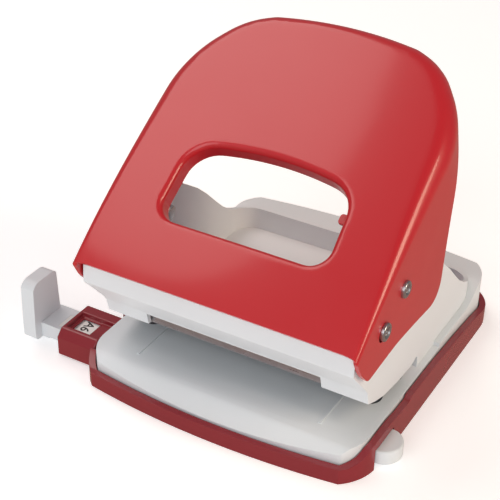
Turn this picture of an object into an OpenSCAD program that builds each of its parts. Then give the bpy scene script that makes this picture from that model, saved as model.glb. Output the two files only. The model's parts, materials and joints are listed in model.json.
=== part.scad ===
// Two-hole desk punch for 80 mm filing holes, with a pressed-steel lever,
// a folded frame, a moulded base and a sliding paper guide.
// Millimetres. X runs along the paper edge, Y from the front to the back, Z up.
// The origin is on the desk, under the middle of the base.

/* [Punching] */
// Distance between the two hole centres
hole_spacing = 80; // [78:0.5:82]
// Diameter of a punched hole
hole_d = 6; // [5.4:0.1:6.2]
// Distance from the hole centres to the paper stop
edge_distance = 12; // [11:0.5:13]
// Lever angle from rest to fully pressed, in degrees
lever_travel = 24; // [20:1:25]

/* [Lever] */
// Overall width over the lever's side flanges
lever_w = 97.4; // [97:0.1:98]
// Thickness of the lever's sheet
lever_t = 1.4; // [1.2:0.1:1.5]
// Length of the lever's panel, measured up its slope
panel_len = 103.4; // [98:0.2:106]
// Slope of the panel's chord above the desk, in degrees
panel_slope = 34.4; // [33.8:0.1:35]
// Radius of the panel's gentle curve, seen from the side
panel_r = 450; // [400:10:600]
// Width of the lever's window
window_w = 57.8; // [50:0.2:62]
// Height of the lever's window, up the slope
window_h = 29; // [26:0.2:32]
// Depth of the lip turned in around the window
window_lip = 5; // [3:0.5:6]

/* [Frame] */
// Overall width over the frame's cheeks
frame_w = 93.4; // [93.2:0.1:93.6]
// Thickness of the frame's sheet
frame_t = 1.5; // [1.2:0.1:1.8]
// Bend radius at the frame's two rear corners
frame_corner_r = 9; // [6:0.5:11]
// Width of each tab that hangs from the front face
tab_w = 15.6; // [12:0.2:18]

/* [Base] */
// Overall width of the base skirt
base_w = 103; // [102.6:0.2:104]
// Height of the deck that the paper lies on
deck_z = 11.2; // [11:0.1:11.4]
// Thickness of the skirt's wall
skirt_wall = 2.2; // [1.6:0.1:2.3]
// Radius of the base's corners in plan
base_corner_r = 17; // [10:1:18]
// Radius of the bow along the front and rear edges
bow_r = 290; // [220:10:400]

/* [Paper guide] */
// Distance from the middle of the punch to the stop's face
stop_x = 74; // [68:0.5:76]
// Width of the guide bar
bar_w = 12; // [10:0.5:12]
// Thickness of the guide bar
bar_t = 5.2; // [4:0.1:5.2]
// Height of the stop plate's top
stop_top = 23.6; // [18:0.2:26]

/* [Hidden] */
$fn = 72;
eps = 0.5;

lever_red = "#B02230";
tray_red = "#97303A";
body_grey = "#DDE0E2";
steel = "#C9CBCE";
label_white = "#F4F4F2";

// Base, from the desk up
base_front = -58.5;
base_rear = 59;
floor_top = 1.2;
skirt_half = base_w / 2;
body_half = skirt_half - skirt_wall - 0.4;
body_inset = skirt_wall + 0.4;
rim_z = 5.6;
band_z = 18;
ledge_z = 12.7;
deck_t = 2;
border_y = -50.5;
border_low_z = 5.9;

// Frame
cheek_out = frame_w / 2;
cheek_in = cheek_out - frame_t;
frame_rear = 44.1;
frame_top_rear = 19.6;
jaw_z = 26.2;
tab_low_z = 21.6;
foot_front = -4.4;
foot_back = 9.2;
foot_z = 4;
rivet_ys = [-0.8, 5.6];
rivet_z = 7.4;
rivet_r = 1.5;

// Lever, hinge and drive
flange_out = lever_w / 2;
pivot_y = -38.9;
pivot_z = 47.5;
pivot_r = 2.5;
drive_y = -26.1;
drive_z = 54.7;
drive_r = 2;
head_r = 3;
head_t = 1.3;
panel_foot = [-55.9, 48.3];
slope_dir = [cos(panel_slope), sin(panel_slope)];
slope_up = [-sin(panel_slope), cos(panel_slope)];
panel_mid = panel_foot + slope_dir * panel_len / 2;
panel_sag = panel_r - sqrt(pow(panel_r, 2) - pow(panel_len / 2, 2));
panel_axis = panel_mid - slope_up * (panel_r - panel_sag);
window_low = 21.3;
window_low_r = 6;
window_top_r = 11;
window_arch_r = 110;
shoulder_start = 60;
shoulder_r = 50;
corner_centre = 56;
corner_r = 51.6;
top_arc_r = 150;

// Punch pins: the drive pins swing on an arc, and each pin's slot takes up the sway
arm = norm([drive_y - pivot_y, drive_z - pivot_z]);
arm_angle = atan2(drive_z - pivot_z, drive_y - pivot_y);
sway = arm * (cos(arm_angle - lever_travel) - cos(arm_angle));
stroke = arm * (sin(arm_angle) - sin(arm_angle - lever_travel));
pin_x = hole_spacing / 2;
pin_y = drive_y + sway / 2;
pin_r = hole_d / 2;
pin_tip_z = 15.2;
pin_run = 0.03;
slot_gap = 0.22;
slot_shift = 0.05;
head_low_z = drive_z - 5;
head_top_z = drive_z + 4.6;
guide_z = 21.2;
guide_t = 2.8;
bush_r = 5;
bush_low_z = 19.2;
bush_top_z = 26.4;
clip_z = 43.6;
clip_t = 1.2;
clip_r = 4.8;
spring_r = 5;
spring_wire = 1.2;
spring_gap = 0.1;
stop_y = pin_y + edge_distance;
die_r = 4.2;
die_run = 0.05;

// Paper guide
guide_y = -37.4;
bar_low = 2.2;
bar_top = bar_low + bar_t;
bar_right = 50;
stop_t = 5.2;
slide_gap = 0.15;
housing_left = -64.4;
housing_right = -49.5;
housing_w = 19.8;
housing_top = 10;
housing_low = 0.4;

// Chip door in the underside
door_half = 39.5;
door_front = -27;
door_back = 36;
door_neck = 28.8;
door_gap = 0.4;
knuckle_y = 43.6;
knuckle_z = 3;
knuckle_r = 1.7;
knuckle_len = 6.8;
lug_in = door_neck + 1.4;
door_pin_r = 0.8;

module mirrored_x() {
    children();
    mirror([1, 0, 0]) children();
}

// A rectangle with one radius at its two lower corners and another at its two upper corners
module round_rect(x0, x1, y0, y1, low_r, top_r) {
    polygon([[x0 + low_r, y0], [x1 - low_r, y0], [x1, y0 + low_r], [x1, y1 - top_r],
        [x1 - top_r, y1], [x0 + top_r, y1], [x0, y1 - top_r], [x0, y0 + low_r]]);
    for (x = [x0 + low_r, x1 - low_r]) translate([x, y0 + low_r]) circle(low_r);
    for (x = [x0 + top_r, x1 - top_r]) translate([x, y1 - top_r]) circle(top_r);
}

// The base's plan: straight sides, round corners, and bowed front and rear edges
module base_plan(inset) {
    intersection() {
        round_rect(inset - skirt_half, skirt_half - inset, base_front + inset, base_rear - inset,
            base_corner_r - inset, base_corner_r - inset);
        translate([0, base_front + bow_r]) circle(bow_r - inset, $fn = 360);
        translate([0, base_rear - bow_r]) circle(bow_r - inset, $fn = 360);
    }
}

// A side profile drawn as [y, z] points and run along X from x0 to x1
module along_x(x0, x1) {
    translate([x0, 0, 0]) rotate([90, 0, 90]) linear_extrude(x1 - x0) children();
}

module rod_x(x0, x1, y, z, r) {
    translate([x0, y, z]) rotate([0, 90, 0]) cylinder(r = r, h = x1 - x0);
}

// ---- lever ----

module on_panel() {
    translate([0, panel_foot[0], panel_foot[1]]) rotate([panel_slope, 0, 0]) children();
}

// The lever's plan: straight flanges, shoulders that sweep in, and a nearly straight handle edge
module lever_plan(inset, low) {
    translate([inset - flange_out, low]) square([2 * (flange_out - inset), shoulder_start - low]);
    intersection() {
        translate([-60, shoulder_start - 0.01]) square([120, 60]);
        translate([shoulder_r - flange_out, shoulder_start]) circle(shoulder_r - inset, $fn = 240);
        translate([flange_out - shoulder_r, shoulder_start]) circle(shoulder_r - inset, $fn = 240);
        translate([0, corner_centre]) circle(corner_r - inset, $fn = 180);
        translate([0, panel_len - top_arc_r]) circle(top_arc_r - inset, $fn = 360);
    }
}

module window_plan(grow) {
    half = window_w / 2 + grow;
    top = window_low + window_h + grow;
    intersection() {
        round_rect(-half, half, window_low - grow, top, window_low_r + grow, window_top_r + grow);
        translate([0, top - window_arch_r]) circle(window_arch_r, $fn = 240);
    }
}

module under_panel(drop) {
    translate([-60, panel_axis[0], panel_axis[1]]) rotate([0, 90, 0])
        cylinder(r = panel_r - drop, h = 120, $fn = 720);
}

// The flange's outline, seen from the side, with the lip that runs on round the handle
module lever_side() {
    polygon([[-55.9, 48.3], [-54.9, 46.6], [-50.9, 36.4], [-49.4, 34.4], [-46.9, 33.8], [-6.9, 34],
        [-1.6, 34.8], [2, 37.2], [3.9, 40.6], [4.6, 44.5], [10.6, 86.5], [14, 90.8], [33, 102.6],
        [33, 112], [-62, 112], [-62, 48.3]]);
}

module lever() {
    color(lever_red) {
        difference() {
            intersection() {
                on_panel() translate([0, 0, -80]) linear_extrude(100) lever_plan(0, 0);
                under_panel(0);
                along_x(-flange_out, flange_out) lever_side();
            }
            intersection() {
                on_panel() translate([0, 0, -90]) linear_extrude(110) lever_plan(lever_t, -30);
                under_panel(lever_t);
            }
            on_panel() translate([0, 0, -10]) linear_extrude(20) window_plan(0);
            rod_x(-60, 60, pivot_y, pivot_z, pivot_r + 0.05);
            rod_x(-60, 60, drive_y, drive_z, drive_r);
        }
        intersection() {
            on_panel() translate([0, 0, -window_lip]) linear_extrude(20) difference() {
                window_plan(lever_t);
                window_plan(0);
            }
            under_panel(lever_t / 2);
        }
        // Small stop tab, bent in from the right side of the window lip
        on_panel() translate([window_w / 2 - 6, window_low + 17, -window_lip]) cube([6.5, 5, lever_t]);
    }
}

// ---- rivets, pins and washers; side is -1 on the left and 1 on the right ----

module on_side(side) {
    if (side < 0) mirror([1, 0, 0]) children();
    else children();
}

module drive_pin(side) {
    inner_x = 33;
    color(steel) on_side(side) {
        rod_x(inner_x, flange_out + eps, drive_y, drive_z, drive_r);
        rod_x(flange_out, flange_out + head_t, drive_y, drive_z, head_r);
        rod_x(inner_x - head_t, inner_x + 0.01, drive_y, drive_z, head_r - 0.2);
    }
}

module pivot_rivet(side) {
    color(steel) on_side(side) {
        rod_x(cheek_in - eps, flange_out + eps, pivot_y, pivot_z, pivot_r);
        rod_x(flange_out + 0.1, flange_out + head_t, pivot_y, pivot_z, head_r + 0.2);
        rod_x(cheek_in - head_t, cheek_in, pivot_y, pivot_z, head_r + 1);
    }
}

module pivot_washer(side) {
    color("white") on_side(side) difference() {
        rod_x(cheek_out, cheek_out + 0.3, pivot_y, pivot_z, 6);
        rod_x(cheek_out - eps, cheek_out + 1, pivot_y, pivot_z, pivot_r + 0.02);
    }
}

// ---- frame ----

// Cheek outline as [y, z]: pivot ear, notch for the drive pin, fall to the rear wall, foot, paper throat
module cheek_side() {
    polygon([[-52.9, 47.2], [-49.8, 48.6], [-43.5, 52.6], [-35.5, 53.6], [-32.6, 51.4], [-31.6, 46.4],
        [-19.6, 46.4], [-18.4, 50.4], [-14.5, 52.4], [-7, 51.2], [3.6, 47], [10.6, 42.2], [16.6, 37],
        [22.6, 31], [27.4, 26.4], [32, 23], [36.5, 20.8], [41, 19.8], [60, frame_top_rear],
        [60, deck_z], [foot_back, deck_z], [foot_back, foot_z], [foot_front, foot_z],
        [foot_front, 15.2], [-5.4, 16], [-7.2, 15.4], [-9.6, 14.8], [-20, 15.6], [-30, 17.2],
        [-35.9, 19.2], [-41.2, tab_low_z], [-42.4, jaw_z], [-43.4, 28], [-53.4, 39.5]]);
}

module frame_plan(inset) {
    round_rect(inset - cheek_out, cheek_out - inset, -70, frame_rear - inset, 0.01, frame_corner_r - inset);
}

// Front face: upright lip, undercut slope and the line of the tabs, as one folded strip
module face_side() {
    polygon([[-52.9, 47.2], [-53.4, 39.5], [-43.4, 28], [-42.4, jaw_z], [-41.2, tab_low_z],
        [-41.2 + frame_t, tab_low_z], [-42.4 + frame_t, jaw_z + 0.4], [-42.3, 29], [-51.9, 40.1],
        [-51.4, 47.2]]);
}

module frame() {
    tab_in = cheek_out - tab_w;
    color(body_grey) difference() {
        union() {
            intersection() {
                linear_extrude(60) difference() {
                    frame_plan(0);
                    frame_plan(frame_t);
                }
                along_x(-cheek_out, cheek_out) cheek_side();
            }
            along_x(-cheek_out, cheek_out) face_side();
        }
        translate([-tab_in, -44, tab_low_z - 1]) cube([2 * tab_in, 6, jaw_z - tab_low_z + 1]);
        rod_x(-60, 60, pivot_y, pivot_z, pivot_r);
        for (y = rivet_ys) rod_x(-60, 60, y, rivet_z, rivet_r);
    }
}

// Bridge between the cheeks that guides both pins; its rear flange is the paper stop
module pin_guide_plate() {
    color(steel) difference() {
        along_x(-cheek_in, cheek_in) polygon([[-39.4, guide_z], [stop_y, guide_z], [stop_y, deck_z + 0.1],
            [stop_y + 1.5, deck_z + 0.1], [stop_y + 1.5, guide_z + guide_t], [-39.4, guide_z + guide_t]]);
        for (x = [-pin_x, pin_x]) translate([x, pin_y, 0]) cylinder(r = bush_r, h = 40);
    }
}

module frame_rivets() {
    color(steel) mirrored_x() for (y = rivet_ys) {
        rod_x(cheek_in - 2 - eps, cheek_out + 0.2, y, rivet_z, rivet_r);
        rod_x(cheek_out, cheek_out + 1, y, rivet_z, 2.4);
        rod_x(cheek_in - 3, cheek_in - 2, y, rivet_z, 2.4);
    }
}

// ---- punch pins ----

module at_pin(side) {
    translate([side * pin_x, pin_y, 0]) children();
}

module pin_bush(side) {
    color(steel) at_pin(side) difference() {
        translate([0, 0, bush_low_z]) cylinder(r = bush_r, h = bush_top_z - bush_low_z);
        cylinder(r = pin_r + pin_run, h = 60);
    }
}

module punch_pin(side) {
    slot_half = sway / 2;
    color(steel) at_pin(side) difference() {
        union() {
            translate([0, 0, pin_tip_z]) cylinder(r = pin_r, h = head_low_z - pin_tip_z);
            translate([-3.8, -5.2, head_low_z]) cube([7.6, 10.4, head_top_z - head_low_z]);
        }
        // Slot for the drive pin, long enough for its sway
        for (y = [-slot_half, slot_half]) rod_x(-5, 5, y, drive_z - slot_shift, drive_r + slot_gap);
        translate([-5, -slot_half, drive_z - slot_shift - drive_r - slot_gap])
            cube([10, 2 * slot_half, 2 * (drive_r + slot_gap)]);
        // Hollow-ground tip with two cutting points
        translate([0, -5, pin_tip_z - 2.2]) rotate([-90, 0, 0]) cylinder(r = 3.2, h = 10);
    }
}

module pin_clip(side) {
    color(steel) at_pin(side) difference() {
        translate([0, 0, clip_z]) cylinder(r = clip_r, h = clip_t);
        cylinder(r = pin_r, h = 60);
    }
}

module return_spring(side) {
    low = bush_top_z + spring_gap;
    color("silver") at_pin(side) difference() {
        translate([0, 0, low]) cylinder(r = spring_r, h = clip_z - spring_gap - low);
        cylinder(r = spring_r - spring_wire, h = 60);
    }
}

module die(side) {
    color(steel) at_pin(side) difference() {
        translate([0, 0, deck_z - 4]) cylinder(r = die_r, h = 4);
        cylinder(r = pin_r + die_run, h = 20);
    }
}

// ---- base ----

// Top of the moulded body: sloping front border, flat deck, side ledge and raised rear band
module body_side() {
    polygon([[-62, floor_top], [-62, border_low_z - 3.4], [-56.2, border_low_z], [border_y, deck_z - 0.4],
        [border_y + 4, deck_z], [9.2, deck_z], [9.2, ledge_z], [32, ledge_z], [36, 13.8], [40, 16.2],
        [44, 17.6], [47, band_z], [62, band_z], [62, floor_top]]);
}

module base_body() {
    chute_r = die_r - 0.8;
    color(body_grey) difference() {
        intersection() {
            linear_extrude(30) base_plan(body_inset);
            along_x(-60, 60) body_side();
        }
        // Well inside the frame, down to the deck
        translate([0, 0, deck_z]) linear_extrude(20) frame_plan(0);
        // Chip chamber, open below, with a wall in front of it for the guide bar
        translate([0, 0, -1]) linear_extrude(deck_z - deck_t + 1) round_rect(-43, 43, -29.4, 46, 4, 8);
        // Guide bar channel
        translate([-60, guide_y - bar_w / 2 - slide_gap, -1])
            cube([120, bar_w + 2 * slide_gap, bar_top + slide_gap + 1]);
        // Hollow of the front border
        translate([0, 0, -1]) linear_extrude(5) round_rect(-42, 42, -52, -45.6, 1, 1);
        // Slots for the frame's feet, with a thin wall left outside them
        mirrored_x() translate([cheek_in, foot_front, foot_z])
            cube([cheek_out - cheek_in, foot_back - foot_front, 30]);
        mirrored_x() translate([cheek_out - 1, foot_front, rivet_z - 2.7])
            cube([2.2, foot_back - foot_front, 5.4]);
        for (y = rivet_ys) rod_x(-60, 60, y, rivet_z, rivet_r);
        for (y = rivet_ys) mirrored_x() rod_x(cheek_in - 4, cheek_in - 2, y, rivet_z, 2.5);
        for (x = [-pin_x, pin_x]) translate([x, pin_y, 0]) {
            translate([0, 0, deck_z - 4]) cylinder(r = die_r, h = 10);
            cylinder(r = chute_r, h = 20);
        }
        // Pocket for the detent spring, and the hinge lugs' room
        translate([-30.5, guide_y + bar_w / 2 - 0.1, -1]) cube([21, 1.4, 7.4]);
        translate([-door_half - 1, knuckle_y - 3.8, -1]) cube([2 * door_half + 2, 7.6, 7]);
    }
    // Raised paper rails on the deck
    color(body_grey) mirrored_x() translate([32.6, -45, deck_z - 0.1]) cube([0.9, 26, 0.5]);
}

// Height of the skirt along the sides: low front rim, arch over the bar, rear wall that falls away
module skirt_side() {
    polygon([[-62, 0], [-62, rim_z], [-53, rim_z], [-49, 7.4], [-46, 9.8], [-42, 11], [-33, 11],
        [-27, 10.2], [-19.5, 10], [-18.6, deck_z - 0.1], [2, 10.6], [20, 9.4], [36, 7.8], [50, 5.6],
        [62, 5], [62, 0]]);
}

module base_skirt() {
    door_w = 2 * door_half + 2 * door_gap;
    neck_w = 2 * door_neck + 2 * door_gap;
    notch_y = housing_w / 2 + 0.2;
    color(tray_red) difference() {
        union() {
            intersection() {
                linear_extrude(20) difference() {
                    base_plan(0);
                    base_plan(skirt_wall);
                }
                along_x(-60, 60) skirt_side();
            }
            linear_extrude(floor_top) base_plan(0);
            mirrored_x() rod_x(lug_in, lug_in + knuckle_len, knuckle_y, knuckle_z, knuckle_r);
            mirrored_x() translate([lug_in, knuckle_y - 1, 0]) cube([knuckle_len, 2, 2]);
        }
        // Opening that the door fills, with a narrower neck at its hinge
        translate([-door_w / 2, door_front - door_gap, -1])
            cube([door_w, door_back - door_front + 2 * door_gap, 6]);
        translate([-neck_w / 2, door_back, -1]) cube([neck_w, 10.6, 3]);
        // Arch over the bar on the right, open to the desk, and the housing's opening on the left
        translate([44, guide_y - bar_w / 2 - 0.4, -1]) cube([16, bar_w + 0.8, bar_top + 1.35]);
        translate([-60, guide_y - notch_y, floor_top]) cube([12, 2 * notch_y, 20]);
        rod_x(-door_half, door_half, knuckle_y, knuckle_z, door_pin_r);
    }
}

module chip_door() {
    color(tray_red) difference() {
        union() {
            translate([-door_half, door_front, 0]) cube([2 * door_half, door_back - door_front, floor_top]);
            translate([-door_neck, door_back - 1, 0])
                cube([2 * door_neck, knuckle_y - door_back - 1.4, floor_top]);
            mirrored_x() rod_x(door_neck - knuckle_len, door_neck, knuckle_y, knuckle_z, knuckle_r);
            mirrored_x() translate([door_neck - knuckle_len, knuckle_y - 3, 0]) cube([knuckle_len, 3, 2]);
            // Latch rib at the front
            translate([-8, door_front + 1, floor_top - 0.1]) cube([16, 1.2, 3.6]);
        }
        rod_x(-door_half, door_half, knuckle_y, knuckle_z, door_pin_r + 0.05);
    }
}

module door_hinge_pin() {
    color(steel) rod_x(-lug_in - knuckle_len, lug_in + knuckle_len, knuckle_y, knuckle_z, door_pin_r);
}

// ---- paper guide ----

module guide_housing() {
    half = housing_w / 2;
    chamfer = 2.6;
    color(tray_red) difference() {
        translate([0, guide_y, 0]) along_x(housing_left, housing_right) polygon([
            [-half, housing_low], [half, housing_low], [half, housing_top - chamfer],
            [half - chamfer, housing_top], [chamfer - half, housing_top], [-half, housing_top - chamfer]]);
        // Step over the base's floor
        translate([-skirt_half, guide_y - half - 1, housing_low - 1])
            cube([10, 2 * half + 2, floor_top - housing_low + 1]);
        translate([housing_left - 1, guide_y - bar_w / 2 - slide_gap, bar_low - slide_gap])
            cube([30, bar_w + 2 * slide_gap, bar_t + 2 * slide_gap]);
        // Long recess between two ridges, with the window over the format marks in its floor
        translate([housing_left + 1.2, guide_y - 5.8, bar_top + 1]) cube([20, 9, 5]);
        translate([-62, guide_y - 5, 5]) cube([6.8, 7.4, 10]);
    }
}

module guide_bar() {
    low = guide_y - bar_w / 2;
    color(body_grey) {
        difference() {
            translate([-stop_x - 1, low, bar_low]) cube([bar_right + stop_x + 1, bar_w, bar_t]);
            translate([-68, guide_y - 4.4, bar_top - 0.2]) cube([116, 7, 1]);
            translate([bar_right - 5, guide_y - 2.5, bar_low - 1]) cube([8, 5, 2.6]);
        }
        translate([-stop_x - stop_t, 0, 0]) rotate([90, 0, 90]) linear_extrude(stop_t)
            translate([guide_y, 0]) intersection() {
                round_rect(-9.2, 5, bar_low - 0.6, stop_top, 1.5, 4);
                polygon([[-9.2, 0], [5, 0], [3.4, 30], [-8.4, 30], [-9.2, 8]]);
            }
        translate([-stop_x - 0.01, low + 0.4, bar_low - 0.8]) cube([2.6, 1.6, 0.9]);
    }
}

module bar_end_knob() {
    color(body_grey) {
        intersection() {
            translate([bar_right + 1.1, guide_y, bar_low]) cylinder(r = bar_w / 2 + 0.1, h = bar_t);
            translate([bar_right, guide_y - bar_w / 2, 0]) cube([20, bar_w, 20]);
        }
        translate([bar_right - 4.9, guide_y - 2.4, bar_low]) cube([5, 4.8, 1.5]);
    }
}

module format_label() {
    color(label_white) translate([-67.9, guide_y - 4.3, bar_top - 0.2]) cube([115.8, 6.8, 0.15]);
}

// Bowed leaf that presses on the bar's rear edge
module detent_spring() {
    y = guide_y + bar_w / 2 + 0.1;
    color(steel) translate([0, 0, 3]) linear_extrude(3)
        polygon([[-30, y + 0.9], [-25, y + 0.9], [-21, y + 0.05], [-19, y + 0.05], [-15, y + 0.9],
            [-10, y + 0.9], [-10, y + 1.2], [-15.2, y + 1.2], [-19.2, y + 0.35], [-20.8, y + 0.35],
            [-24.8, y + 1.2], [-30, y + 1.2]]);
}

lever();
drive_pin(-1);  // drive_pin_left
drive_pin(1);  // drive_pin_right
pivot_rivet(-1);  // pivot_rivet_left
pivot_rivet(1);  // pivot_rivet_right
pivot_washer(-1);  // pivot_washer_left
pivot_washer(1);  // pivot_washer_right
frame();
pin_guide_plate();
frame_rivets();
pin_bush(-1);  // pin_bush_left
pin_bush(1);  // pin_bush_right
punch_pin(-1);  // punch_pin_left
punch_pin(1);  // punch_pin_right
pin_clip(-1);  // pin_clip_left
pin_clip(1);  // pin_clip_right
return_spring(-1);  // return_spring_left
return_spring(1);  // return_spring_right
die(-1);  // die_left
die(1);  // die_right
base_body();
base_skirt();
chip_door();
door_hinge_pin();
guide_housing();
guide_bar();
bar_end_knob();
format_label();
detent_spring();
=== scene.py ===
import json
import math

import bmesh
import bpy
from bpy.props import FloatProperty, FloatVectorProperty, PointerProperty
from mathutils import Matrix, Vector

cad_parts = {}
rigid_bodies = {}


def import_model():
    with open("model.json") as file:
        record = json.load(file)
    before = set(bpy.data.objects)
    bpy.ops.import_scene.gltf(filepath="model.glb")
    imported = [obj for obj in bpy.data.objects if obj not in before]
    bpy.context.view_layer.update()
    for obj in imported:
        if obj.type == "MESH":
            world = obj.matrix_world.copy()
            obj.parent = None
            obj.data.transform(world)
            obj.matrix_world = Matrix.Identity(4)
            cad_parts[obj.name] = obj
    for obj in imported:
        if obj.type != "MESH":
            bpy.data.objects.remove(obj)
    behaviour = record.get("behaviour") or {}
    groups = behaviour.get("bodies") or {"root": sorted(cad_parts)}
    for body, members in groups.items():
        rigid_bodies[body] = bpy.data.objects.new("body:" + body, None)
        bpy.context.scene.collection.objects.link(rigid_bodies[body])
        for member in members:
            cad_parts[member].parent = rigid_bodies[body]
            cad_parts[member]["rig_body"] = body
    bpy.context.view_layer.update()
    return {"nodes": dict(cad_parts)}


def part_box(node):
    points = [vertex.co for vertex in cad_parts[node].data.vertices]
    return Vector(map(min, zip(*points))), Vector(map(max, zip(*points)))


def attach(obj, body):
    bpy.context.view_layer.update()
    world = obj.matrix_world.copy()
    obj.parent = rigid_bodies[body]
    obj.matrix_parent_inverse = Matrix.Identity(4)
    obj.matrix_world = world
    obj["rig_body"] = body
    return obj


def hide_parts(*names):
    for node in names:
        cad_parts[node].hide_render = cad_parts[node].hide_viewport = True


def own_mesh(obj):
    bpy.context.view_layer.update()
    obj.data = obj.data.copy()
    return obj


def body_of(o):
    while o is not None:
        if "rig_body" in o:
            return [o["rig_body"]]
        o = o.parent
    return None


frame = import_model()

bl_info = {
    "name": "Desk hole punch",
    "version": (1, 0, 0),
    "blender": (4, 5, 0),
    "location": "3D View > Sidebar > Hole punch",
    "description": "Builds the pieces, finishes and stage of a two-hole desk punch",
    "category": "Object",
}

MM = 0.001
NODES = frame["nodes"]

# Axes along X, as (y, z) in millimetres
DRIVE_AXIS = (-26.1, 54.7)
PIVOT_AXIS = (-38.9, 47.5)


def srgb(code):
    """An sRGB hex colour as linear red, green, blue and alpha."""
    values = [int(code[i:i + 2], 16) / 255 for i in (1, 3, 5)]
    return tuple(v / 12.92 if v <= 0.04045 else ((v + 0.055) / 1.055) ** 2.4 for v in values) + (1.0,)


def colour_property(name, code, text):
    return FloatVectorProperty(name=name, description=text, subtype="COLOR", size=4, min=0, max=1,
                               default=srgb(code))


class PunchLeverSizes(bpy.types.PropertyGroup):
    half_width: FloatProperty(name="Half width", description="From the middle to a flange's outer face",
                              default=48.7, min=40, max=60)
    sheet: FloatProperty(name="Sheet", description="Thickness of the lever's steel sheet",
                         default=1.4, min=0.8, max=2)
    fold_low: FloatProperty(name="Fold at the foot", description="Fold radius at the lever's lower edge",
                            default=1.9, min=1, max=5)
    fold_high: FloatProperty(name="Fold at the handle", description="Fold radius round the handle",
                             default=5.6, min=2, max=8)
    crown: FloatProperty(name="Crown", description="Rise of the panel's middle over its edges",
                         default=0.9, min=0, max=2)
    lip: FloatProperty(name="Lip", description="Depth of the rim round the handle", default=6.4, min=4, max=9)
    window_lip: FloatProperty(name="Window lip", description="Depth of the lip turned in round the window",
                              default=6.2, min=3, max=8)


class PunchFinishes(bpy.types.PropertyGroup):
    lever_red: colour_property("Lever", "#C01A23", "Enamel on the lever")
    moulded_red: colour_property("Red mouldings", "#8C2830", "Skirt, chip door and guide housing")
    frame_grey: colour_property("Frame", "#E4E8EB", "Enamel on the frame")
    moulded_grey: colour_property("Grey mouldings", "#E2E7EA", "Base body and guide bar")
    zinc: colour_property("Zinc plate", "#B9BCC0", "Rivets, guide plate and hinge pin")
    ground_steel: colour_property("Ground steel", "#C4C6C9", "Punch pins, bushes and dies")


class PunchStage(bpy.types.PropertyGroup):
    overhead: FloatProperty(name="Overhead softbox", description="Power of the large light above",
                            unit="POWER", default=5.4, min=0)
    front: FloatProperty(name="Front softbox", description="Power of the fill light in front",
                         unit="POWER", default=4.6, min=0)
    strip: FloatProperty(name="Strip light", description="Power of the strip that edges the fold",
                         unit="POWER", default=5.3, min=0)
    sky: FloatProperty(name="Room light", description="Strength of the light from all round",
                       default=0.22, min=0)
    lens: FloatProperty(name="Lens", description="Focal length in millimetres on a 36 mm wide sensor",
                        default=91.26, min=20)


# ---- materials ----

def add_node(tree, kind, settings=None, links=None):
    """Adds a shader node; settings name sockets or attributes, links name sockets and their sources."""
    node = tree.nodes.new(kind)
    for key, value in (settings or {}).items():
        if isinstance(key, int) or key in node.inputs:
            node.inputs[key].default_value = value
        else:
            setattr(node, key, value)
    for key, source in (links or {}).items():
        tree.links.new(source, node.inputs[key])
    return node


def start_material(name):
    found = bpy.data.materials.get(name)
    if found:
        return found, None
    material = bpy.data.materials.new(name)
    material.use_nodes = True
    material.node_tree.nodes.clear()
    return material, material.node_tree


def noise(tree, coords, size_mm, detail=2.0):
    """Noise whose features are about size_mm across."""
    return add_node(tree, "ShaderNodeTexNoise", {"Scale": 1 / (size_mm * MM), "Detail": detail},
                    {"Vector": coords.outputs["Object"]})


def spread(tree, source, low, high):
    """A texture's middle band stretched over low to high."""
    return add_node(tree, "ShaderNodeMapRange",
                    {"From Min": 0.2, "From Max": 0.8, "To Min": low, "To Max": high},
                    {"Value": source.outputs["Fac"]})


def tint(tree, factor, colour, amount):
    """The colour, made a little darker and lighter by a texture."""
    dark = tuple(c * (1 - amount) for c in colour[:3]) + (1,)
    light = tuple(min(1, c * (1 + amount)) for c in colour[:3]) + (1,)
    mix = add_node(tree, "ShaderNodeMix", {"data_type": "RGBA"}, {0: factor.outputs["Result"]})
    mix.inputs[6].default_value = dark
    mix.inputs[7].default_value = light
    return mix.outputs[2]


def coated(name, colour, settings, grain_mm, grain_height, rough, mottle):
    """A paint or plastic: a mottled colour, a roughness that varies, and a fine surface grain."""
    material, tree = start_material(name)
    if tree is None:
        return material
    coords = add_node(tree, "ShaderNodeTexCoord")
    broad = spread(tree, noise(tree, coords, 30.0, 0.0), 0.0, 1.0)
    smudge = spread(tree, noise(tree, coords, 9.0, 1.0), rough - 0.02, rough + 0.02)
    grain = noise(tree, coords, grain_mm, 2.0)
    bump = add_node(tree, "ShaderNodeBump", {"Strength": 0.35, "Distance": grain_height * MM},
                    {"Height": grain.outputs["Fac"]})
    shader = add_node(tree, "ShaderNodeBsdfPrincipled", settings,
                      {"Base Color": tint(tree, broad, colour, mottle), "Roughness": smudge.outputs["Result"],
                       "Normal": bump.outputs["Normal"]})
    add_node(tree, "ShaderNodeOutputMaterial", {}, {"Surface": shader.outputs["BSDF"]})
    return material


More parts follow.
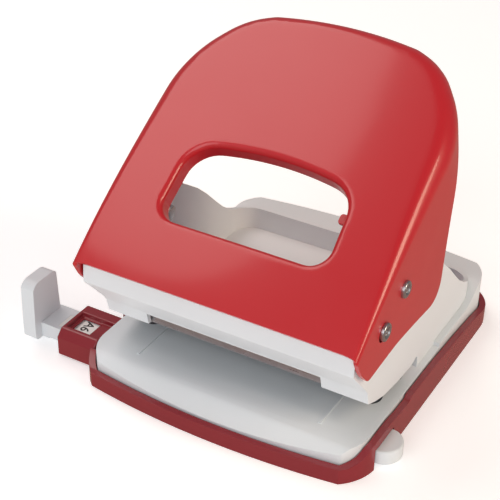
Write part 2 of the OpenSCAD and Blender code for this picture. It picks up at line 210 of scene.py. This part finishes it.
def metal(name, colour, rough, streak_mm, along):
    """A bare or plated metal with fine streaks along the axes set to 1; it keeps the default IOR."""
    material, tree = start_material(name)
    if tree is None:
        return material
    coords = add_node(tree, "ShaderNodeTexCoord")
    stretch = add_node(tree, "ShaderNodeMapping", {"Scale": tuple(0.06 if a else 1.0 for a in along)},
                       {"Vector": coords.outputs["Object"]})
    streaks = add_node(tree, "ShaderNodeTexNoise", {"Scale": 1 / (streak_mm * MM), "Detail": 3.0},
                       {"Vector": stretch.outputs["Vector"]})
    patch = spread(tree, noise(tree, coords, 3.0, 3.0), 0.0, 1.0)
    shine = spread(tree, streaks, rough - 0.08, rough + 0.1)
    bump = add_node(tree, "ShaderNodeBump", {"Strength": 0.2, "Distance": 0.01 * MM},
                    {"Height": streaks.outputs["Fac"]})
    shader = add_node(tree, "ShaderNodeBsdfPrincipled", {"Metallic": 1.0},
                      {"Base Color": tint(tree, patch, colour, 0.08), "Roughness": shine.outputs["Result"],
                       "Normal": bump.outputs["Normal"]})
    add_node(tree, "ShaderNodeOutputMaterial", {}, {"Surface": shader.outputs["BSDF"]})
    return material


def lever_enamel():
    # Stoved enamel sprayed on sheet steel: glossy, with a faint orange peel about 1 mm across
    return coated("stoved_red_enamel", bpy.context.scene.punch_finishes.lever_red,
                  {"IOR": 1.46, "Coat Weight": 0.55, "Coat Roughness": 0.1},
                  grain_mm=1.1, grain_height=0.006, rough=0.32, mottle=0.012)


def frame_enamel():
    # Grey stoved enamel on folded sheet: satin, even, with a slight orange peel
    return coated("stoved_grey_enamel", bpy.context.scene.punch_finishes.frame_grey,
                  {"IOR": 1.5, "Coat Weight": 0.1, "Coat Roughness": 0.2},
                  grain_mm=1.2, grain_height=0.008, rough=0.4, mottle=0.012)


def grey_moulding():
    # ABS from a spark-eroded mould: a satin skin with grain of about 0.4 mm
    return coated("moulded_grey_abs", bpy.context.scene.punch_finishes.moulded_grey, {"IOR": 1.54},
                  grain_mm=0.4, grain_height=0.01, rough=0.46, mottle=0.012)


def red_moulding():
    # ABS from a polished mould: glossier than the grey, with faint flow marks
    return coated("moulded_red_abs", bpy.context.scene.punch_finishes.moulded_red, {"IOR": 1.54},
                  grain_mm=0.6, grain_height=0.005, rough=0.24, mottle=0.02)


def nylon():
    # Unfilled nylon: off-white and slightly waxy
    return coated("turned_nylon", srgb("#E6E4DD"),
                  {"IOR": 1.53, "Subsurface Weight": 0.1, "Subsurface Scale": 0.0005},
                  grain_mm=0.5, grain_height=0.01, rough=0.42, mottle=0.02)


def printed_card():
    # Printed polyester strip: white and satin
    return coated("printed_strip_white", srgb("#F1F1EE"), {"IOR": 1.5},
                  grain_mm=0.5, grain_height=0.004, rough=0.4, mottle=0.01)


def ink():
    # Black screen-printing ink: matt
    return coated("screen_print_ink", srgb("#1C1C1E"), {"IOR": 1.5},
                  grain_mm=0.3, grain_height=0.004, rough=0.55, mottle=0.05)


def zinc_plate():
    # Bright zinc plating on steel: pale and clean, with faint lines drawn out along X
    return metal("zinc_plated_steel", bpy.context.scene.punch_finishes.zinc,
                 rough=0.3, streak_mm=0.5, along=(1, 0, 0))


def ground_steel():
    # Hardened steel, ground round: bright, with fine lines that run round the pin
    return metal("ground_tool_steel", bpy.context.scene.punch_finishes.ground_steel,
                 rough=0.22, streak_mm=0.3, along=(1, 1, 0))


def spring_wire():
    # Drawn spring wire: darker than the plated parts
    return metal("drawn_spring_wire", srgb("#8F9296"), rough=0.3, streak_mm=0.3, along=(0, 0, 1))


# ---- mesh helpers ----

def make_piece(bm, name, body, material, replaced=(), smooth_angle=40.0):
    """Makes a piece of a bmesh drawn in millimetres, in place, and gives it its body and finish."""
    bmesh.ops.scale(bm, vec=(MM, MM, MM), verts=bm.verts)
    for face in bm.faces:
        face.smooth = True
    for edge in bm.edges:
        sharp = edge.is_manifold and edge.calc_face_angle(0) > math.radians(smooth_angle)
        edge.smooth = not sharp
    mesh = bpy.data.meshes.new(name)
    bm.to_mesh(mesh)
    bm.free()
    piece = bpy.data.objects.new(name, mesh)
    bpy.context.scene.collection.objects.link(piece)
    piece.data.materials.append(material)
    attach(piece, body)
    if replaced:
        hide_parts(*replaced)
    return piece


def cad_copy(node):
    """A merged copy of a CAD node's mesh in millimetres, with its flat faces joined up again."""
    bm = bmesh.new()
    bm.from_mesh(NODES[node].data)
    bmesh.ops.scale(bm, vec=(1 / MM, 1 / MM, 1 / MM), verts=bm.verts)
    bmesh.ops.remove_doubles(bm, verts=bm.verts, dist=0.002)
    bmesh.ops.dissolve_degenerate(bm, edges=bm.edges, dist=0.002)
    bmesh.ops.dissolve_limit(bm, angle_limit=math.radians(0.6), use_dissolve_boundaries=False, verts=bm.verts,
                             edges=bm.edges)
    return bm


def sharp_edges(bm, angle=28.0):
    return [e for e in bm.edges if e.is_manifold and e.calc_face_angle(0) > math.radians(angle)]


def round_edges(bm, edges, width, segments=3):
    bmesh.ops.bevel(bm, geom=edges, offset=width, offset_type="OFFSET", affect="EDGES", segments=segments,
                    profile=0.5, material=-1, clamp_overlap=True)


def weight_normals(piece):
    """Keeps the flats flat beside their rounded edges."""
    modifier = piece.modifiers.new("weighted_normals", "WEIGHTED_NORMAL")
    modifier.keep_sharp = True
    modifier.weight = 60


def softened(node, material, width, segments=2):
    """A CAD node with its sharp edges broken."""
    bm = cad_copy(node)
    round_edges(bm, sharp_edges(bm), width, segments)
    piece = make_piece(bm, node + "_rounded", body_of(NODES[node])[0], material, [node])
    weight_normals(piece)
    return piece


def rounded_path(corners, step, closed=False):
    """Points along straight lines whose corners (x, y, radius) are arcs, at most step apart."""
    count = len(corners)
    stretches = []
    for i, (x, y, radius) in enumerate(corners):
        here = Vector((x, y))
        if radius <= 0 or (not closed and i in (0, count - 1)):
            stretches.append([here])
            continue
        before = (Vector(corners[i - 1][:2]) - here).normalized()
        after = (Vector(corners[(i + 1) % count][:2]) - here).normalized()
        half = before.angle(after) / 2
        reach = radius / math.tan(half)
        centre = here + (before + after).normalized() * radius / math.sin(half)
        first = here + before * reach - centre
        sweep = (math.pi - 2 * half) * (1 if first.cross(here + after * reach - centre) > 0 else -1)
        pieces = max(3, math.ceil(abs(sweep) * radius / step), math.ceil(abs(sweep) / math.radians(9)))
        arc = []
        for k in range(pieces + 1):
            turned = first.copy()
            turned.rotate(Matrix.Rotation(sweep * k / pieces, 2))
            arc.append(centre + turned)
        stretches.append(arc)
    path = []
    for i, stretch in enumerate(stretches):
        path.extend(stretch)
        if not closed and i == count - 1:
            break
        start = stretch[-1]
        end = stretches[(i + 1) % count][0]
        gaps = math.ceil((end - start).length / step)
        path.extend(start.lerp(end, k / gaps) for k in range(1, gaps))
    return path


def path_normals(path, closed=False):
    """The direction to the right of travel at each point of a path."""
    count = len(path)
    normals = []
    for i in range(count):
        before = path[i - 1] if closed or i else path[0]
        after = path[(i + 1) % count] if closed or i < count - 1 else path[-1]
        run = (after - before).normalized()
        normals.append(Vector((run.y, -run.x)))
    return normals


def strip(bm, path, profile, closed=False):
    """A sheet along a flat path; profile(i) gives its point i as (out to the path's right, up) pairs."""
    across = len(profile(0))
    grid = bmesh.ops.create_grid(bm, x_segments=across - 1, y_segments=len(path) - 1, size=1)["verts"]
    rows = [grid[i * across:(i + 1) * across] for i in range(len(path))]
    for i, (point, normal) in enumerate(zip(path, path_normals(path, closed))):
        for vert, (out, up) in zip(rows[i], profile(i)):
            vert.co = (point.x + normal.x * out, point.y + normal.y * out, up)
    if closed:
        bmesh.ops.bridge_loops(bm, edges=chain_edges(bm, rows[-1]) + chain_edges(bm, rows[0]))
    return rows


def chain_edges(bm, verts, closed=False):
    """The edges that join a row of points, made where they are missing."""
    pairs = list(zip(verts, verts[1:])) + ([(verts[-1], verts[0])] if closed else [])
    return [bm.edges.get(pair) or bm.edges.new(pair) for pair in pairs]


def turned(name, body, material, slot, profile, centre, replaced=(), side=1, steps=48):
    """A part turned about an axis along X; profile is (x, radius) pairs that start and end on the axis."""
    bm = bmesh.new()
    verts = [bm.verts.new((side * x, centre[0], centre[1] + r)) for x, r in profile]
    edges = chain_edges(bm, verts)
    bmesh.ops.spin(bm, geom=verts + edges, cent=(0, centre[0], centre[1]), axis=(1, 0, 0), dvec=(0, 0, 0),
                   angle=2 * math.pi, steps=steps, use_merge=True, use_duplicate=False)
    bmesh.ops.remove_doubles(bm, verts=bm.verts, dist=0.0005)
    bmesh.ops.recalc_face_normals(bm, faces=bm.faces)
    return make_piece(bm, name, body, material, replaced, 35.0)


# ---- lever ----

class LeverPanel:
    """The lever's panel follows a long arc; this turns places along and off it into places in the frame."""
    slope = math.radians(34.4)
    chord = 103.4
    radius = 450.0
    foot = Vector((-55.9, 48.3))
    half = math.asin(chord / 2 / radius)
    along = Vector((math.cos(slope), math.sin(slope)))
    up = Vector((-math.sin(slope), math.cos(slope)))
    axis = foot + along * chord / 2 - up * radius * math.cos(half)

    @classmethod
    def place(cls, across, along, off):
        """The place in the frame of a point across, along and off the panel."""
        angle = cls.slope + math.pi / 2 + cls.half - along / cls.radius
        reach = cls.radius + off
        return Vector((across, cls.axis.x + reach * math.cos(angle), cls.axis.y + reach * math.sin(angle)))

    @classmethod
    def unplace(cls, y, z):
        """Distance up the panel and height off it of a place seen from the side."""
        ray = Vector((y, z)) - cls.axis
        angle = math.atan2(ray.y, ray.x)
        return Vector(((cls.slope + math.pi / 2 + cls.half - angle) * cls.radius, ray.length - cls.radius))


# How far up the panel its straight sides end
SHOULDER = 78.0
# Gaps between the cuts that let the flat drawing bend
CUT_ALONG = 2.5
CUT_ACROSS = 6.0
# Radius of the window lip's fold
WINDOW_FOLD = 1.9
# The foot turns down at its sides: by how much, from how far across, and over how far up and out
FOOT_DROP = 2.6
FOOT_DROP_FROM = 44.0
FOOT_FADE = 14.0


def smoothstep(x):
    x = min(1.0, max(0.0, x))
    return x * x * (3 - 2 * x)


def quarter_round(radius, pieces, side):
    """A quarter arc from a wall up to the sheet, as (out, up) pairs; side is 1 for right, -1 for left."""
    angles = [math.pi / 2 * k / pieces for k in range(pieces + 1)]
    return [(side * radius * (1 - math.cos(a)), -radius * (1 - math.sin(a))) for a in angles]


def lever_outline(w):
    """The panel's edge from the right foot round the handle to the left foot, on corners of given radius."""
    half = [(w, 0, 0), (w, SHOULDER, 42), (34.6, 97.2, 26), (25, 101.3, 12)]
    return rounded_path(half + [(0, 105.35, 138)] + [(-x, y, r) for x, y, r in reversed(half)], 2.0)


def add_flange(bm, wall, side, sizes):
    """Fills a flange from the wall's lower row to its own edge, with the pivot rivet's hole in it."""
    w = sizes.half_width
    tip = LeverPanel.unplace(-49.4, 33.7)
    low = LeverPanel.unplace(3.4, 33.9)
    rear_low = LeverPanel.unplace(4.6, 44.5)
    rear_high = LeverPanel.unplace(10.6, 86.5)
    meet = rear_low.lerp(rear_high, (-sizes.lip - rear_low.y) / (rear_high.y - rear_low.y))
    # The flange ends at the first row of the wall that lies clear of the rear corner's arc
    last = next(i for i, row in enumerate(wall) if row[0].co.y > meet.x + 3.7)
    path = rounded_path([(0, -sizes.lip, 0), (0, tip.y, 4), (low.x, low.y, 8.5), (meet.x, meet.y, 8),
                         (wall[last][0].co.y, -sizes.lip, 0)], 1.6)
    wall_low = [row[0] for row in wall[:last + 1]]
    edge = [bm.verts.new((side * w, p.x, p.y)) for p in path[1:-1] if p.y < -sizes.lip - 0.12]
    loop = chain_edges(bm, wall_low) + chain_edges(bm, [wall_low[0]] + edge + [wall_low[-1]])
    pivot = LeverPanel.unplace(*PIVOT_AXIS)
    turn = Matrix.Translation((side * w, pivot.x, pivot.y)) @ Matrix.Rotation(math.pi / 2, 4, "Y")
    hole = bmesh.ops.create_circle(bm, cap_ends=False, segments=32, radius=2.75, matrix=turn)["verts"]
    loop += list({edge for vert in hole for edge in vert.link_edges})
    # The row along the wall is bowed while the flange is filled, so that no face lies along it
    for k, vert in enumerate(wall_low):
        vert.co.z -= k * (last - k) / last ** 2
    bmesh.ops.triangle_fill(bm, use_beauty=True, use_dissolve=False, edges=loop, normal=(side, 0, 0))
    for vert in wall_low:
        vert.co.z = -sizes.lip


def cut(bm, place, normal):
    bmesh.ops.bisect_plane(bm, geom=bm.verts[:] + bm.edges[:] + bm.faces[:], dist=0.15, plane_co=place,
                           plane_no=normal)


def bend_lever(bm, outline, sizes):
    """Bends the flat drawing to the panel's arc, with its crown, narrowed flanges and turned-down foot."""
    w = sizes.half_width
    side = [(p.y, p.x) for p in outline if p.x > 0 and p.y < 95]

    def half_width(s):
        """Half the outline's width at s up the panel."""
        for (s0, u0), (s1, u1) in zip(side, side[1:]):
            if s0 <= s <= s1:
                return u0 + (u1 - u0) * (s - s0) / (s1 - s0)
        return w

    for vert in bm.verts:
        u, s, n = vert.co
        # A flange keeps to the outline above it
        if n < -sizes.lip + 0.01 and 50 < s < 90:
            u = math.copysign(half_width(s), u)
        # The sheet's lower edge runs down into the front of each flange
        reach = max(0.0, abs(u) - FOOT_DROP_FROM) + max(0.0, -n)
        if s < FOOT_FADE:
            s -= FOOT_DROP * smoothstep(reach / FOOT_FADE) * (1 - max(0.0, s) / FOOT_FADE)
        lift = sizes.crown * (1 - (u / w) ** 2)
        vert.co = LeverPanel.place(u, s, n + lift)


def lever_sheet(sizes):
    """The lever's outer skin, drawn flat and then bent: rim and fold, window lip, panel and two flanges."""
    bm = bmesh.new()
    outline = lever_outline(sizes.half_width)

    def rim(i):
        radius = sizes.fold_low + (sizes.fold_high - sizes.fold_low) * smoothstep(outline[i].y / SHOULDER)
        flat = [(-radius - 1.2, 0), (-radius - 2.6, 0)]
        return [(0, -sizes.lip)] + quarter_round(radius, 8, -1) + flat

    def turned_in(_):
        return [(0, -sizes.window_lip)] + quarter_round(WINDOW_FOLD, 6, 1) + [(WINDOW_FOLD + 0.8, 0)]

    rows = strip(bm, outline, rim)
    window = rounded_path([(-28.9, 21.2, 6.5), (28.9, 21.2, 6.5), (27.8, 46.9, 10.5), (0, 51.9, 110),
                           (-27.8, 46.9, 10.5)], 2.0, True)
    ring = strip(bm, window, turned_in, True)
    inner = [row[-1] for row in rows]
    panel_edges = chain_edges(bm, inner, True) + chain_edges(bm, [row[-1] for row in ring], True)
    bmesh.ops.triangle_fill(bm, use_beauty=True, use_dissolve=False, edges=panel_edges, normal=(0, 0, 1))
    add_flange(bm, rows, 1, sizes)
    add_flange(bm, rows[::-1], -1, sizes)
    for k in range(1, 42):
        cut(bm, (0, CUT_ALONG * k, 0), (0, 1, 0))
    for k in range(-7, 8):
        cut(bm, (CUT_ACROSS * k, 0, 0), (1, 0, 0))
    bend_lever(bm, outline, sizes)
    bmesh.ops.remove_doubles(bm, verts=bm.verts, dist=0.06)
    bmesh.ops.dissolve_degenerate(bm, edges=bm.edges, dist=0.04)
    bmesh.ops.recalc_face_normals(bm, faces=bm.faces)
    outward = max((f for f in bm.faces if abs(f.calc_center_median().x) < 20), key=lambda f: f.calc_area())
    if outward.normal.z < 0:
        bmesh.ops.reverse_faces(bm, faces=bm.faces)
    return bm


class HOLEPUNCH_OT_lever(bpy.types.Operator):
    """Builds the pressed-steel lever with its flanges, handle rim and window"""
    bl_idname = "hole_punch.lever"
    bl_label = "Lever"

    def execute(self, context):
        sizes = context.scene.punch_lever
        piece = make_piece(lever_sheet(sizes), "lever_pressing", "handle", lever_enamel(),
                           ["lever"], 50)
        sheet = piece.modifiers.new("sheet", "SOLIDIFY")
        sheet.thickness = sizes.sheet * MM
        sheet.offset = -1
        edge = piece.modifiers.new("broken_edge", "BEVEL")
        edge.width = 0.3 * MM
        edge.segments = 2
        edge.limit_method = "ANGLE"
        edge.angle_limit = math.radians(50)
        weight_normals(piece)
        self.stop_tab(sizes)
        return {"FINISHED"}

    def stop_tab(self, sizes):
        """The tab bent in from the window's lip, at its right side."""
        length, width, thickness = 5.4, 3.4, 1.3
        across, along = 27.4, 39.4
        bm = bmesh.new()
        bmesh.ops.create_cube(bm, size=1.0)
        bmesh.ops.scale(bm, vec=(length, width, thickness), verts=bm.verts)
        round_edges(bm, [e for e in bm.edges if abs(e.verts[0].co.z - e.verts[1].co.z) > 1], 1.0, 4)
        round_edges(bm, sharp_edges(bm, 50), 0.25, 2)
        for vert in bm.verts:
            vert.co = LeverPanel.place(across + vert.co.x, along + vert.co.y,
                                       -sizes.window_lip + 1.0 + vert.co.z)
        weight_normals(make_piece(bm, "lever_window_tab", "handle", lever_enamel()))


class HOLEPUNCH_OT_rivets(bpy.types.Operator):
    """Turns the drive pins and pivot rivets, with domed and dimpled heads"""
    bl_idname = "hole_punch.rivets"
    bl_label = "Rivets and drive pins"

    def execute(self, context):
        # Each is drawn as (x, radius) pairs from its inner end outwards
        drive_shank = [(31.4, 0), (31.4, 1.9), (31.7, 2.5), (32.0, 2.8), (33.0, 2.8), (33.0, 2.0),
                       (48.7, 2.0)]
        pivot_shank = [(43.9, 0), (43.9, 3.4), (44.2, 3.9), (45.2, 3.9), (45.2, 2.5), (48.8, 2.5)]
        for side, name in ((-1, "left"), (1, "right")):
            turned("drive_pin_turned_" + name, "handle", zinc_plate(), "steel",
                   drive_shank + self.head(48.72, 2.75, 1.15), DRIVE_AXIS, ["drive_pin_" + name], side)
            turned("pivot_rivet_turned_" + name, "base", zinc_plate(), "steel",
                   pivot_shank + self.head(48.82, 2.9, 1.1), PIVOT_AXIS, ["pivot_rivet_" + name], side)
            softened("pivot_washer_" + name, nylon(), 0.06)
        return {"FINISHED"}

    def head(self, x, radius, height):
        """A head's outline from x outwards: a domed edge round a dimple."""
        dome = [(x + height - 0.55 * (1 - math.sin(a)), radius - 0.7 * (1 - math.cos(a)))
                for a in (math.radians(18 * k) for k in range(6))]
        dimple = [(x + height - 0.1, radius - 1.1), (x + height - 0.6, radius - 1.3),
                  (x + height - 0.6, 0.75), (x + height - 0.2, 0.55), (x + height - 0.2, 0)]
        return [(x, radius)] + dome + dimple


class HOLEPUNCH_OT_frame(bpy.types.Operator):
    """Rounds the folded frame and finishes the guide plate and the frame's rivets"""
    bl_idname = "hole_punch.frame"
    bl_label = "Frame"

    def execute(self, context):
        softened("frame", frame_enamel(), 0.4, 3)
        softened("pin_guide_plate", zinc_plate(), 0.3)
        softened("frame_rivets", zinc_plate(), 0.3)
        return {"FINISHED"}


class HOLEPUNCH_OT_punching(bpy.types.Operator):
    """Finishes the punch pins, bushes, clips and dies, and winds the return springs"""
    bl_idname = "hole_punch.punching"
    bl_label = "Punch pins and springs"

    def execute(self, context):
        for name in ("left", "right"):
            softened("punch_pin_" + name, ground_steel(), 0.18)
            softened("pin_bush_" + name, ground_steel(), 0.25)
            softened("pin_clip_" + name, zinc_plate(), 0.2)
            softened("die_" + name, ground_steel(), 0.15)
            self.wind_spring(name)
        return {"FINISHED"}

    def wind_spring(self, name):
        low, high = (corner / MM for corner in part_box("return_spring_" + name))
        wire_radius = 0.6
        turns = 7
        steps = turns * 24
        radius = (high.x - low.x) / 2 - wire_radius
        cx, cy = (low.x + high.x) / 2, (low.y + high.y) / 2
        rise = (high.z - low.z - 2 * wire_radius) / steps
        bm = bmesh.new()
        start = Matrix.Translation((cx + radius, cy, low.z + wire_radius))
        ring = bmesh.ops.create_circle(bm, cap_ends=True, segments=10, radius=wire_radius,
                                       matrix=start @ Matrix.Rotation(math.pi / 2, 4, "X"))["verts"]
        face = ring[0].link_faces[0]
        out = bmesh.ops.spin(bm, geom=[face] + list(face.edges) + ring, cent=(cx, cy, 0), axis=(0, 0, 1),
                             dvec=(0, 0, rise), angle=2 * math.pi * turns, steps=steps, use_merge=False,
                             use_duplicate=False)
        if not out["geom_last"]:
            raise RuntimeError("the spring could not be wound")
        bmesh.ops.recalc_face_normals(bm, faces=bm.faces)
        spring = make_piece(bm, "return_spring_coil_" + name, "base", spring_wire(),
                            ["return_spring_" + name])
        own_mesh(spring)


class HOLEPUNCH_OT_base(bpy.types.Operator):
    """Shapes the base body, the red skirt and the chip door"""
    bl_idname = "hole_punch.base"
    bl_label = "Base"

    def execute(self, context):
        self.body()
        softened("base_skirt", red_moulding(), 0.55, 3)
        softened("chip_door", red_moulding(), 0.3)
        NODES["door_hinge_pin"].data.materials.clear()
        NODES["door_hinge_pin"].data.materials.append(zinc_plate())
        return {"FINISHED"}

    def on_rim(self, edge):
        """Whether an edge lies between a top face and an outer wall of the body."""
        mid = (edge.verts[0].co + edge.verts[1].co) / 2
        wall = any(abs(f.normal.z) < 0.1 for f in edge.link_faces)
        top = any(f.normal.z > 0.5 for f in edge.link_faces)
        beside = abs(mid.x) > 48 or abs(mid.y) > 52
        corner = abs(mid.x) > 36 and abs(mid.y) > 46
        return wall and top and mid.z > 5 and (beside or corner)

    def body(self):
        bm = cad_copy("base_body")
        sharp = sharp_edges(bm, 20)
        round_edges(bm, [e for e in sharp if self.on_rim(e)], 1.8, 4)
        rest = [e for e in sharp if e.is_valid and e.is_manifold and e.calc_face_angle(0) > math.radians(28)]
        round_edges(bm, rest, 0.35, 2)
        weight_normals(make_piece(bm, "base_body_moulding", "base", grey_moulding(),
                                  ["base_body"]))


class HOLEPUNCH_OT_guide(bpy.types.Operator):
    """Finishes the guide housing, the bar with its stop and knob, the printed strip and the detent spring"""
    bl_idname = "hole_punch.guide"
    bl_label = "Paper guide"

    def execute(self, context):
        softened("guide_housing", red_moulding(), 0.6, 3)
        softened("guide_bar", grey_moulding(), 0.7, 3)
        softened("bar_end_knob", grey_moulding(), 0.7, 3)
        for name, material in (("format_label", printed_card()), ("detent_spring", spring_wire())):
            NODES[name].data.materials.clear()
            NODES[name].data.materials.append(material)
        low, high = (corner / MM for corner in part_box("format_label"))
        marks = bmesh.new()
        for words, x in (("A6", -59.2), ("A5", -28.2), ("A4", 15.3)):
            self.mark(marks, words, x, (low.y + high.y) / 2 + 0.9, high.z)
            bar = bmesh.ops.create_cube(marks, size=1.0)["verts"]
            bmesh.ops.scale(marks, vec=(0.35, 5.4, 0.02), verts=bar)
            bmesh.ops.translate(marks, vec=(x + 7, (low.y + high.y) / 2, high.z + 0.01), verts=bar)
        make_piece(marks, "format_marks", "guide", ink())
        return {"FINISHED"}

    def mark(self, bm, words, x, y, z):
        """Adds a paper size to bm, read from the side, as flat letters."""
        curve = bpy.data.curves.new("format_letters", "FONT")
        curve.body = words
        curve.size = 4.7
        curve.align_x = "CENTER"
        curve.align_y = "CENTER"
        curve.extrude = 0.01
        curve.offset = 0.06
        letters = bpy.data.objects.new("format_letters", curve)
        bpy.context.scene.collection.objects.link(letters)
        bpy.context.view_layer.update()
        mesh = bpy.data.meshes.new_from_object(letters.evaluated_get(bpy.context.evaluated_depsgraph_get()))
        bpy.data.objects.remove(letters)
        mesh.transform(Matrix.Translation((x, y, z + 0.02)) @ Matrix.Rotation(-math.pi / 2, 4, "Z"))
        bm.from_mesh(mesh)
        bpy.data.meshes.remove(mesh)


class HOLEPUNCH_OT_stage(bpy.types.Operator):
    """Sets the pale floor, the softboxes and the camera"""
    bl_idname = "hole_punch.stage"
    bl_label = "Stage"

    def execute(self, context):
        stage = context.scene.punch_stage
        bm = bmesh.new()
        bmesh.ops.create_grid(bm, x_segments=1, y_segments=1, size=3.0)
        mesh = bpy.data.meshes.new("floor")
        bm.to_mesh(mesh)
        bm.free()
        floor = bpy.data.objects.new("floor", mesh)
        context.scene.collection.objects.link(floor)
        floor.data.materials.append(self.floor_paint())
        floor.visible_glossy = False
        # What shiny faces see of the room below the object: a dimmer, warmer ground
        ground = bpy.data.objects.new("ground_in_reflections", mesh.copy())
        context.scene.collection.objects.link(ground)
        ground.data.materials.clear()
        ground.data.materials.append(self.ground_paint())
        ground.visible_camera = False
        ground.visible_diffuse = False
        ground.visible_shadow = False
        ground.visible_transmission = False
        self.softbox("overhead_softbox", stage.overhead, (-0.62, 0.05, 0.9), (-0.62, 0.05, 0), 0.72, 1.2,
                     "ELLIPSE", "#FFF0EA")
        self.softbox("front_softbox", stage.front, (0.1, -0.95, 0.6), (0, 0, 0.03), 1.0, 0.8, "RECTANGLE",
                     "#FFFFFF")
        self.softbox("fold_strip", stage.strip, (0.95, 0.0, 0.62), (0, 0, 0.05), 0.3, 0.7, "RECTANGLE",
                     "#FFE9CF")
        world = bpy.data.worlds.new("room")
        context.scene.world = world
        world.use_nodes = True
        world.node_tree.nodes.clear()
        sky = add_node(world.node_tree, "ShaderNodeBackground",
                       {"Color": srgb("#F4F6FA"), "Strength": stage.sky})
        add_node(world.node_tree, "ShaderNodeOutputWorld", {}, {"Surface": sky.outputs["Background"]})
        context.scene.view_settings.view_transform = "Standard"
        self.camera(context, stage.lens)
        return {"FINISHED"}

    def floor_paint(self):
        # Matt white sweep, lit a little from below, as a light table is
        material, tree = start_material("white_sweep")
        coords = add_node(tree, "ShaderNodeTexCoord")
        broad = spread(tree, noise(tree, coords, 60.0, 2.0), 0.0, 1.0)
        shader = add_node(tree, "ShaderNodeBsdfPrincipled",
                          {"Roughness": 0.9, "Specular IOR Level": 0.0, "Emission Color": srgb("#FFFFFF"),
                           "Emission Strength": 0.35},
                          {"Base Color": tint(tree, broad, srgb("#F8F8F8"), 0.005)})
        add_node(tree, "ShaderNodeOutputMaterial", {}, {"Surface": shader.outputs["BSDF"]})
        return material

    def ground_paint(self):
        # Warm grey card, lit evenly
        material, tree = start_material("warm_grey_card")
        glow = add_node(tree, "ShaderNodeEmission", {"Color": srgb("#E0B8A8"), "Strength": 0.5})
        add_node(tree, "ShaderNodeOutputMaterial", {}, {"Surface": glow.outputs["Emission"]})
        return material

    def softbox(self, name, power, place, aim, width, height, shape, colour):
        light = bpy.data.lights.new(name, "AREA")
        light.energy = power
        light.shape = shape
        light.size = width
        light.size_y = height
        light.color = srgb(colour)[:3]
        lamp = bpy.data.objects.new(name, light)
        bpy.context.scene.collection.objects.link(lamp)
        away = Vector(place) - Vector(aim)
        lamp.matrix_world = Matrix.Translation(place) @ away.to_track_quat("Z", "Y").to_matrix().to_4x4()

    def camera(self, context, lens):
        azimuth, elevation, roll = math.radians(29.71), math.radians(32.52), math.radians(-1.0)
        aim = Vector((-0.01363, -0.0074, 0.03704))
        distance = 0.41474
        back = Vector((math.sin(azimuth) * math.cos(elevation), -math.cos(azimuth) * math.cos(elevation),
                       math.sin(elevation)))
        right = Vector((math.cos(azimuth), math.sin(azimuth), 0))
        up = back.cross(right)
        across = right * math.cos(roll) - up * math.sin(roll)
        upward = right * math.sin(roll) + up * math.cos(roll)
        place = aim + back * distance
        data = bpy.data.cameras.new("camera")
        data.sensor_width = 36
        data.lens = lens
        data.clip_start = 0.01
        camera = bpy.data.objects.new("camera", data)
        context.scene.collection.objects.link(camera)
        turn = Matrix((across, upward, back)).transposed().to_4x4()
        camera.matrix_world = Matrix.Translation(place) @ turn
        context.scene.camera = camera


OPERATORS = (HOLEPUNCH_OT_lever, HOLEPUNCH_OT_rivets, HOLEPUNCH_OT_frame, HOLEPUNCH_OT_punching,
             HOLEPUNCH_OT_base, HOLEPUNCH_OT_guide, HOLEPUNCH_OT_stage)


class HOLEPUNCH_PT_panel(bpy.types.Panel):
    """Lists the punch's pieces and its stage"""
    bl_idname = "HOLEPUNCH_PT_panel"
    bl_label = "Hole punch"
    bl_space_type = "VIEW_3D"
    bl_region_type = "UI"
    bl_category = "Hole punch"

    def draw(self, context):
        for group in (context.scene.punch_lever, context.scene.punch_finishes, context.scene.punch_stage):
            box = self.layout.box()
            for name in group.__annotations__:
                box.prop(group, name)
        for operator in OPERATORS:
            self.layout.operator(operator.bl_idname)


CLASSES = (PunchLeverSizes, PunchFinishes, PunchStage) + OPERATORS + (HOLEPUNCH_PT_panel,)


def register():
    for cls in CLASSES:
        bpy.utils.register_class(cls)
    bpy.types.Scene.punch_lever = PointerProperty(type=PunchLeverSizes)
    bpy.types.Scene.punch_finishes = PointerProperty(type=PunchFinishes)
    bpy.types.Scene.punch_stage = PointerProperty(type=PunchStage)


def unregister():
    del bpy.types.Scene.punch_stage
    del bpy.types.Scene.punch_finishes
    del bpy.types.Scene.punch_lever
    for cls in reversed(CLASSES):
        bpy.utils.unregister_class(cls)


def main():
    register()
    for name in ("stage", "lever", "rivets", "frame", "punching", "base", "guide"):
        getattr(bpy.ops.hole_punch, name)()
    bpy.context.view_layer.update()


if __name__ == "__main__":
    main()
